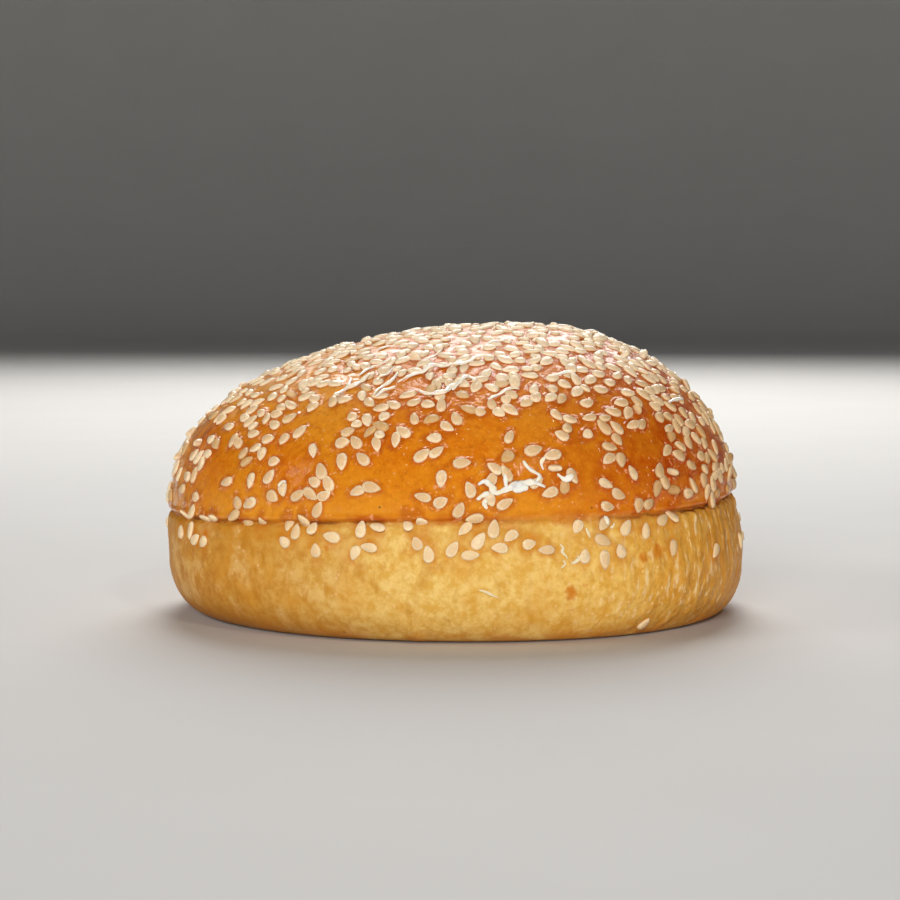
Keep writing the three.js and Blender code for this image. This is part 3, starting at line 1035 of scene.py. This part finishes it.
# %% The cap's colour
cap_colour = mixed(tree, between(tree, cloudy(tree, 16 * MM, 4), 0.38, 0.62), ORANGE, GOLDEN)
to_the_right = between(tree, across, 4 * MM, 38 * MM)
high_up = between(tree, above, 0.0, 7.0)
cap_colour = mixed(tree, times(times(to_the_right, high_up), 0.8), cap_colour, DEEP)
to_the_left = between(tree, across, 2 * MM, -28 * MM)
at_the_top = between(tree, above, 10.0, 20.0)
cap_colour = mixed(tree, times(times(to_the_left, at_the_top), 0.5), cap_colour, PALE_GOLD)
fine = between(tree, cloudy(tree, 2.8 * MM, 7, rough=0.7), 0.38, 0.66)
cap_colour = mixed(tree, times(fine, 0.55), cap_colour, GOLDEN)
grainy = between(tree, cloudy(tree, 1.1 * MM, 6, rough=0.75), 0.48, 0.70)
cap_colour = mixed(tree, times(grainy, 0.5), cap_colour, STRIP)
browned = between(tree, cloudy(tree, 6 * MM, 6, rough=0.65), 0.54, 0.72)
cap_colour = mixed(tree, times(browned, 0.55), cap_colour, STRIP)
light_grain = between(tree, cloudy(tree, 0.9 * MM, 6, rough=0.8), 0.46, 0.64)
sunny_share = sums(tree, "SUBTRACT", 0.28, times(to_the_right, 0.16))
cap_colour = mixed(tree, times(light_grain, sunny_share), cap_colour, SUNNY)
dark_grain = between(tree, cloudy(tree, 1.3 * MM, 6, rough=0.8), 0.50, 0.68)
cap_colour = mixed(tree, times(dark_grain, 0.45), cap_colour, UMBER)
# Painted highlights: small pale glints on the glaze, in patches.
in_places = between(tree, cloudy(tree, 5 * MM, 3), 0.45, 0.6)
painted_glints = times(flecks(tree, 1.2 * MM, 0.24 * MM), in_places)
cap_colour = mixed(tree, times(painted_glints, 0.35), cap_colour, PAINTED_GLINT)
low_on_cap = times(between(tree, above, 8.0, 1.0), sums(tree, "SUBTRACT", 1.0, to_the_right))
cap_colour = mixed(tree, times(low_on_cap, 0.45), cap_colour, RIM_GOLD)
strip = times(between(tree, above, 2.0, 0.4), between(tree, cloudy(tree, 6 * MM, 3), 0.35, 0.6))
cap_colour = mixed(tree, times(strip, 0.7), cap_colour, STRIP)
# Painted shade round each seed: darker crust hugging its outline, partly pooled glaze and partly
# painted contact shade.
cap_colour = mixed(tree, times(near_seed, 0.45), cap_colour, DEEP)
# Painted highlights: peach glints beside the seeds, where the glaze's meniscus catches the light.
in_specks = between(tree, cloudy(tree, 0.9 * MM, 3), 0.58, 0.66)
glint_beside_seed = times(between(tree, near_seed, 0.1, 0.4), in_specks)
cap_colour = mixed(tree, times(glint_beside_seed, 0.5), cap_colour, PEACH_GLINT)
print("Cap colour made, nodes so far:", len(tree.nodes))

# %% The band's colour
soft_mottle = between(tree, cloudy(tree, 1.8 * MM, 9, rough=0.70), 0.36, 0.64)
band_colour = mixed(tree, soft_mottle, YELLOW, CREAM)
# Painted shade: the band turns darker and more orange towards its left and right sides.
off_middle = sums(tree, "ABSOLUTE", sums(tree, "SUBTRACT", across, 7 * MM), 0.0)
to_the_sides = between(tree, off_middle, 12 * MM, 48 * MM)
band_colour = mixed(tree, times(to_the_sides, 0.85), band_colour, SIDE_SHADE_TINT, "MULTIPLY")
band_colour = mixed(tree, to_the_right, band_colour, RIGHT_TINT, "MULTIPLY")
patchy = between(tree, cloudy(tree, 8 * MM, 6, rough=0.6), 0.48, 0.68)
band_colour = mixed(tree, times(patchy, 0.5), band_colour, AMBER)
pale_patch = times(to_the_left, between(tree, cloudy(tree, 6 * MM, 5, rough=0.6), 0.50, 0.64))
band_colour = mixed(tree, times(pale_patch, 0.4), band_colour, PALE_PATCH)
streaky = between(tree, cloudy(tree, 2.2 * MM, 5, stretch=(1, 1, 2.2), twist=0.3), 0.54, 0.70)
streaky_share = sums(tree, "ADD", 0.35, times(to_the_left, 0.25))
band_colour = mixed(tree, times(streaky, streaky_share), band_colour, WARM)
# Painted highlights: pale glints along the stretch wrinkles at the right of the band.
glint_streak_share = times(to_the_right, 0.5)
glint_streak = between(tree, cloudy(tree, 0.9 * MM, 4, stretch=(1, 1, 3.0), twist=0.3), 0.54, 0.70)
band_colour = mixed(tree, times(glint_streak, glint_streak_share), band_colour, GLINT_STREAK)
# Painted highlights: small pink glossy specks on the band, more towards the right.
in_places = between(tree, cloudy(tree, 6 * MM, 3), 0.42, 0.6)
glint_specks = times(flecks(tree, 1.6 * MM, 0.34 * MM), in_places)
glint_speck_share = times(glint_specks, sums(tree, "ADD", 0.5, times(to_the_right, 0.25)))
band_colour = mixed(tree, glint_speck_share, band_colour, PINK_GLINT)
in_places = between(tree, cloudy(tree, 5 * MM, 4), 0.48, 0.66)
under_rim = times(between(tree, above, -5.0, -0.4), in_places)
band_colour = mixed(tree, times(under_rim, 0.55), band_colour, WARM)
in_places = between(tree, cloudy(tree, 2.4 * MM, 5), 0.40, 0.60)
around_strays = times(number(tree, "stain"), in_places)
band_colour = mixed(tree, times(around_strays, 0.75), band_colour, STAIN_AND_SHADE)
# Painted shade hugging each seed on the band, together with pooled glaze.
band_colour = mixed(tree, times(near_seed, 0.30), band_colour, STAIN_AND_SHADE)
foot = between(tree, above, -13.5, -18.5)
foot_share = sums(tree, "ADD", 0.15, times(to_the_sides, 0.6))
band_colour = mixed(tree, times(foot, foot_share), band_colour, OCHRE)
in_places = between(tree, cloudy(tree, 5 * MM, 4), 0.36, 0.58)
foot_edge = times(between(tree, above, -16.8, -19.0), in_places)
band_colour = mixed(tree, times(foot_edge, 0.6), band_colour, STAIN_AND_SHADE)
on_base = between(tree, above, -19.0, -19.5)
band_colour = mixed(tree, on_base, band_colour, UNDERSIDE)
print("Band colour made, nodes so far:", len(tree.nodes))

# %% Where the cap meets the band
ragged = times(sums(tree, "SUBTRACT", cloudy(tree, 3.0 * MM, 5), 0.5), 1.6)
edge = sums(tree, "ADD", above, ragged)
crease_fade = number(tree, "faded")
softness = sums(tree, "ADD", 0.25, times(crease_fade, 1.3))
on_cap = between(tree, edge, times(softness, -1.0), softness)
colour = mixed(tree, on_cap, band_colour, cap_colour)
uneven = times(sums(tree, "SUBTRACT", cloudy(tree, 1.1 * MM, 4), 0.5), 1.2)
blotch = sums(tree, "ADD", spot, uneven)
ragged_spot = times(between(tree, blotch, 0.25, 0.85), between(tree, spot, 0.02, 0.25))
colour = mixed(tree, times(ragged_spot, 0.85), colour, SPOT_BROWN)
# The dark line along the crease is partly the crust's brown edge and partly painted shade in the
# crease.
in_line = times(between(tree, edge, -0.35, -0.05), between(tree, edge, 0.40, 0.1))
line_share = sums(tree, "ADD", 0.2, between(tree, cloudy(tree, 9 * MM, 2), 0.4, 0.6))
line_share = times(line_share, sums(tree, "SUBTRACT", 1.0, times(crease_fade, 0.8)))
colour = mixed(tree, times(times(in_line, line_share), 0.7), colour, BROWN_AND_SHADE_LINE)
colour = mixed(tree, times(flecks(tree, 7 * MM, 0.30 * MM), 0.7), colour, FLECK)
feed(tree, shader.inputs["Base Color"], colour)
print("Colours joined, nodes so far:", len(tree.nodes))

# %% [markdown]
# The gloss is a coat over the crust. The egg dried thicker in some places than in others, so the
# coat's weight varies, and it is thinner at the peak, where the seeds soaked it up. The crust and
# its coat have bumps of their own: the glaze smooths over the pores and has slow waves instead.

# %% The crust's gloss
band_rough = sums(tree, "ADD", 0.40, times(cloudy(tree, 3 * MM, 3), 0.2))
feed(tree, shader.inputs["Roughness"], band_rough)
gleaming = between(tree, cloudy(tree, 3 * MM, 3), 0.5, 0.66)
band_coat = sums(tree, "ADD", 0.05, times(times(gleaming, to_the_right), 0.3))
thick_glaze = between(tree, cloudy(tree, 2.6 * MM, 4), 0.40, 0.58)
cap_coat = times(on_cap, sums(tree, "ADD", 0.5, times(thick_glaze, 0.5)))
soaked_up = times(between(tree, above, 20.0, 28.0), 0.35)
cap_coat = times(cap_coat, sums(tree, "SUBTRACT", 1.0, soaked_up))
feed(tree, shader.inputs["Coat Weight"], sums(tree, "MAXIMUM", band_coat, cap_coat))
shader.inputs["Coat Roughness"].default_value = 0.09
shader.inputs["Coat IOR"].default_value = 1.4
shader.inputs["Specular IOR Level"].default_value = 0.08
shader.inputs["Subsurface Weight"].default_value = 0.15
shader.inputs["Subsurface Radius"].default_value = (1.0, 0.5, 0.2)
shader.inputs["Subsurface Scale"].default_value = 1.2 * MM
print("Gloss made, nodes so far:", len(tree.nodes))

# %% The crust's skin
coarse_skin = bumped(tree, cloudy(tree, 2.4 * MM, 4), 0.14 * MM)
fine_skin = bumped(tree, cloudy(tree, 0.7 * MM, 3), 0.05 * MM, 1.0, coarse_skin)
pulled = times(to_the_right, cloudy(tree, 2.6 * MM, 2, stretch=(1, 1, 2.0), twist=0.3))
pulled = times(pulled, sums(tree, "SUBTRACT", 1.0, on_cap))
pulled_skin = bumped(tree, pulled, 0.8 * MM, 1.0, fine_skin)
feed(tree, shader.inputs["Normal"], pulled_skin)
meniscus = bumped(tree, times(near_seed, near_seed), 0.30 * MM)
glaze_waves = bumped(tree, cloudy(tree, 3.6 * MM, 4), 0.42 * MM, 1.0, meniscus)
glaze_skin = bumped(tree, cloudy(tree, 1.1 * MM, 2), 0.10 * MM, 1.0, glaze_waves)
glaze_pulled = bumped(tree, pulled, 0.4 * MM, 1.0, glaze_skin)
feed(tree, shader.inputs["Coat Normal"], glaze_pulled)
crust.data.materials.append(crust_look)
print("Crust recipe has", len(tree.nodes), "nodes")

# %% [markdown]
# A sesame seed is ivory, with a paler thin rim and a slightly greyer, see-through middle. Each
# seed carries a number of its own, `tint`, which makes some paler and a few toasted or soaked with
# egg. `rim` runs from the middle of a seed to its edge, and `veil` marks strays that the crust's
# wax covers. The seeds are browner towards the right, whiter at the top as a painted sheen, and
# their lower sides are darkened, partly egg stain and partly painted contact shade.

# %% The seeds' recipe
IVORY = (0.815, 0.535, 0.28)
PALE_RIM = (0.99, 0.77, 0.50)
GREYED = (0.66, 0.475, 0.285)
TOP_SHEEN = (0.97, 0.84, 0.64)
STAINED_AND_SHADED = (0.48, 0.165, 0.012)
TOASTED = (0.66, 0.38, 0.13)
SOAKED = (0.60, 0.30, 0.06)
VEILED = (0.93, 0.72, 0.42)
BROWNER = (0.79, 0.70, 0.58)

seed_look, tree, shader = new_recipe("sesame_skin")
tint = number(tree, "tint")
rim = number(tree, "rim")
in_places = between(tree, cloudy(tree, 1.3 * MM, 3), 0.15, 0.45)
rim_share = times(between(tree, rim, 0.5, 0.85), in_places)
colour = mixed(tree, rim_share, IVORY, PALE_RIM)
colour = mixed(tree, times(between(tree, tint, 0.3, 0.1), 0.75), colour, PALE_RIM)
colour = mixed(tree, times(between(tree, tint, 0.5, 0.8), 0.35), colour, TOASTED)
colour = mixed(tree, times(between(tree, tint, 0.88, 0.97), 0.65), colour, SOAKED)
grain = between(tree, cloudy(tree, 0.6 * MM, 4, rough=0.6), 0.35, 0.65)
centre = between(tree, rim, 0.95, 0.6)
colour = mixed(tree, times(grain, sums(tree, "ADD", 0.15, times(centre, 0.5))), colour, GREYED)
browner = between(tree, place_along(tree, "X"), 6 * MM, 40 * MM)
colour = mixed(tree, times(browner, 0.85), colour, BROWNER, "MULTIPLY")
# Painted sheen: seeds at the top are whitened where light grazes them.
at_the_top = between(tree, place_along(tree, "Z"), 36 * MM, 46 * MM)
colour = mixed(tree, times(at_the_top, 0.35), colour, TOP_SHEEN)
colour = mixed(tree, times(number(tree, "veil"), 0.6), colour, VEILED)
# The seeds' lower sides are painted dark orange: partly egg stain, partly painted contact shade.
colour = mixed(tree, times(between(tree, rim, 1.0, 1.35), 0.85), colour, STAINED_AND_SHADED)
feed(tree, shader.inputs["Base Color"], colour)
side = between(tree, rim, 0.92, 1.15)
rough = sums(tree, "ADD", sums(tree, "ADD", 0.32, times(grain, 0.15)), times(side, 0.5))
feed(tree, shader.inputs["Roughness"], rough)
feed(tree, shader.inputs["Coat Weight"], times(0.35, sums(tree, "SUBTRACT", 1.0, side)))
shader.inputs["Coat Roughness"].default_value = 0.12
shader.inputs["Coat IOR"].default_value = 1.4
shader.inputs["Specular IOR Level"].default_value = 0.12
shader.inputs["Subsurface Weight"].default_value = 0.2
shader.inputs["Subsurface Radius"].default_value = (1.0, 0.6, 0.3)
shader.inputs["Subsurface Scale"].default_value = 0.8 * MM
rim_skin = bumped(tree, between(tree, rim, 0.62, 0.85), 0.06 * MM)
rough_skin = bumped(tree, cloudy(tree, 0.9 * MM, 4), 0.09 * MM, 1.0, rim_skin)
feed(tree, shader.inputs["Normal"], rough_skin)
sesame.data.materials.append(seed_look)
print("Seed recipe has", len(tree.nodes), "nodes")

# %% [markdown]
# Dried egg glaze is a pale, slightly yellow film, clear at its thin edges and very glossy. The
# threads are thin, so a pale colour with a strong coat stands in for a clear body, which would
# take far longer to render.

# %% The glaze's recipe
GLAZE_PALE = (0.98, 0.90, 0.78)
GLAZE_YELLOW = (0.94, 0.74, 0.46)
GLAZE_ON_BAND = (0.90, 0.66, 0.34)

glaze_look, tree, shader = new_recipe("dried_glaze")
cloudiness = between(tree, cloudy(tree, 1.6 * MM, 3), 0.35, 0.65)
colour = mixed(tree, times(cloudiness, 0.6), GLAZE_PALE, GLAZE_YELLOW)
low_down = between(tree, place_along(tree, "Z"), 21 * MM, 18 * MM)
colour = mixed(tree, times(low_down, 0.7), colour, GLAZE_ON_BAND)
feed(tree, shader.inputs["Base Color"], colour)
feed(tree, shader.inputs["Roughness"], sums(tree, "ADD", 0.22, times(cloudiness, 0.1)))
shader.inputs["Coat Weight"].default_value = 0.8
shader.inputs["Coat Roughness"].default_value = 0.06
shader.inputs["Subsurface Weight"].default_value = 0.3
shader.inputs["Subsurface Radius"].default_value = (1.0, 0.6, 0.3)
shader.inputs["Subsurface Scale"].default_value = 0.5 * MM
feed(tree, shader.inputs["Normal"], bumped(tree, cloudy(tree, 0.6 * MM, 3), 0.04 * MM))
glaze.data.materials.append(glaze_look)
print("Glaze recipe has", len(tree.nodes), "nodes")

# %% [markdown]
# The stage is a pale cove: a round floor whose edge curves up into a wall on every side, so that
# no hard horizon shows from any view. It is spun from one profile, the quickest way to a round
# bowl. The wall's colour darkens with height: painted shade, as out of the lamps' reach.

# %% The cove
COVE_RADIUS = 2.2
COVE_BEND = 0.7
COVE_WALL = 2.4
BEND_STEPS = 10
COVE_SECTORS = 96
CLOUD_SIZE = 0.05
DARKENS_FROM = 0.35
DARK_FROM = 0.9
PAPER = (0.62, 0.60, 0.57)
PALER_PAPER = (0.66, 0.64, 0.61)
DARK_WALL = (0.04, 0.04, 0.04)

cove_shape = bmesh.new()
chain = [cove_shape.verts.new((0, 0, 0))]
for i in range(BEND_STEPS + 1):
    angle = i / BEND_STEPS * math.pi / 2
    x = COVE_RADIUS - COVE_BEND + COVE_BEND * math.sin(angle)
    chain.append(cove_shape.verts.new((x, 0, COVE_BEND * (1 - math.cos(angle)))))
chain.append(cove_shape.verts.new((COVE_RADIUS, 0, COVE_WALL)))
for lower, upper in zip(chain, chain[1:]):
    cove_shape.edges.new((lower, upper))
bmesh.ops.spin(
    cove_shape,
    geom=cove_shape.verts[:] + cove_shape.edges[:],
    cent=(0, 0, 0),
    axis=(0, 0, 1),
    angle=2 * math.pi,
    steps=COVE_SECTORS,
    use_merge=True,
)
bmesh.ops.remove_doubles(cove_shape, verts=cove_shape.verts[:], dist=MERGE_WITHIN)
cove_mesh = bpy.data.meshes.new("cove")
cove_shape.to_mesh(cove_mesh)
cove_shape.free()
cove_mesh.shade_smooth()
cove = bpy.data.objects.new("cove", cove_mesh)
bpy.context.collection.objects.link(cove)
cove_look, tree, shader = new_recipe("pale_paper")
paper = mixed(tree, cloudy(tree, CLOUD_SIZE, 3), PAPER, PALER_PAPER)
# Painted shade: the wall turns dark with height.
high = between(tree, place_along(tree, "Z"), DARKENS_FROM, DARK_FROM)
paper = mixed(tree, high, paper, DARK_WALL)
feed(tree, shader.inputs["Base Color"], paper)
shader.inputs["Roughness"].default_value = 0.8
cove.data.materials.append(cove_look)
print("Cove", len(cove_mesh.polygons), "faces")


# %% [markdown]
# Light. The photograph has a big soft light above and a little behind, which whitens the seeds on
# top, and soft light from the front that lifts the band. Each is a round area light that faces the
# roll. Soft light that lifts a side without a shine of its own there is hidden from reflections,
# with `mirrored=False`. Two small lights, at the front and at the left, give the sparkle on the
# glaze, and a low one at the right rounds off that side of the band.

# %% The lights
ROOM_COLOUR = (0.9, 0.93, 1.0, 1)
ROOM_STRENGTH = 0.04


def softbox(name, place, width, power, mirrored=True):
    data = bpy.data.lights.new(name, "AREA")
    data.shape = "DISK"
    data.size = width
    data.energy = power
    lamp = bpy.data.objects.new(name, data)
    lamp.location = place
    towards = MIDDLE_POINT - Vector(place)
    lamp.rotation_euler = towards.to_track_quat("-Z", "Y").to_euler()
    lamp.visible_glossy = mirrored
    bpy.context.collection.objects.link(lamp)
    return lamp


softbox("back_light", (0.05, 0.80, 0.62), 0.7, 7.2)
softbox("top_light", (0.0, 0.42, 0.88), 0.34, 2.1)
softbox("front_light", (-0.25, -1.30, 0.34), 0.5, 12.0, mirrored=False)
softbox("sparkle_light", (0.42, -0.95, 0.80), 0.08, 1.6)
softbox("left_light", (-1.02, -0.37, 0.64), 0.30, 0.8)
softbox("left_fill", (-1.02, -0.37, 0.64), 0.50, 1.8, mirrored=False)
softbox("right_light", (1.11, -0.59, 0.05), 0.14, 3.8, mirrored=False)

world = bpy.data.worlds.new("world")
world.use_nodes = True
room = world.node_tree.nodes["Background"]
room.inputs["Color"].default_value = ROOM_COLOUR
room.inputs["Strength"].default_value = ROOM_STRENGTH
bpy.context.scene.world = world
bpy.context.scene.view_settings.view_transform = "Standard"
